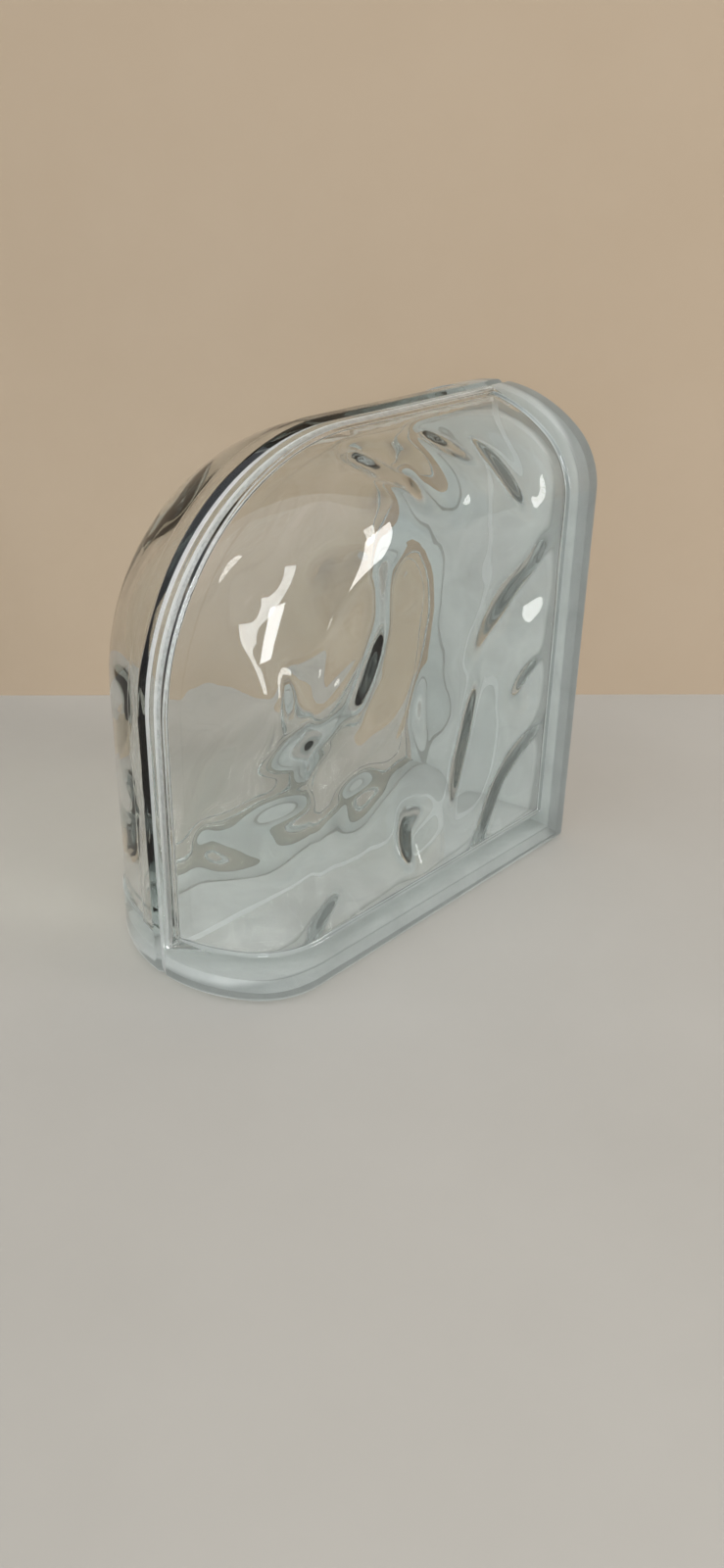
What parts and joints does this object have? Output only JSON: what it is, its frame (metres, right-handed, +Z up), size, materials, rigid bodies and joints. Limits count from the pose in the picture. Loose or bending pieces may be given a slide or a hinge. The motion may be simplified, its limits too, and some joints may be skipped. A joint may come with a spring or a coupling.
{
  "type": "glass block",
  "caption": "Hollow corner glass block with wavy faces, rounded finished sides meeting in a large corner and recessed mortar sides, for ending a glass wall.",
  "frame": {"origin": "middle of the bounding box on the floor, under the block as it stands on a mortar side", "axes": "+X across the face towards the upright mortar side, +Y from the front face to the back face, +Z up"},
  "size_m": [0.1969, 0.098, 0.1969],
  "materials": {
    "glass": "clear, faintly grey-green, smooth outside and wavy inside, with a frosted coat on the mortar sides"
  },
  "bodies": {
    "root": {"glass_block": "glass"}
  },
  "joints": []
}
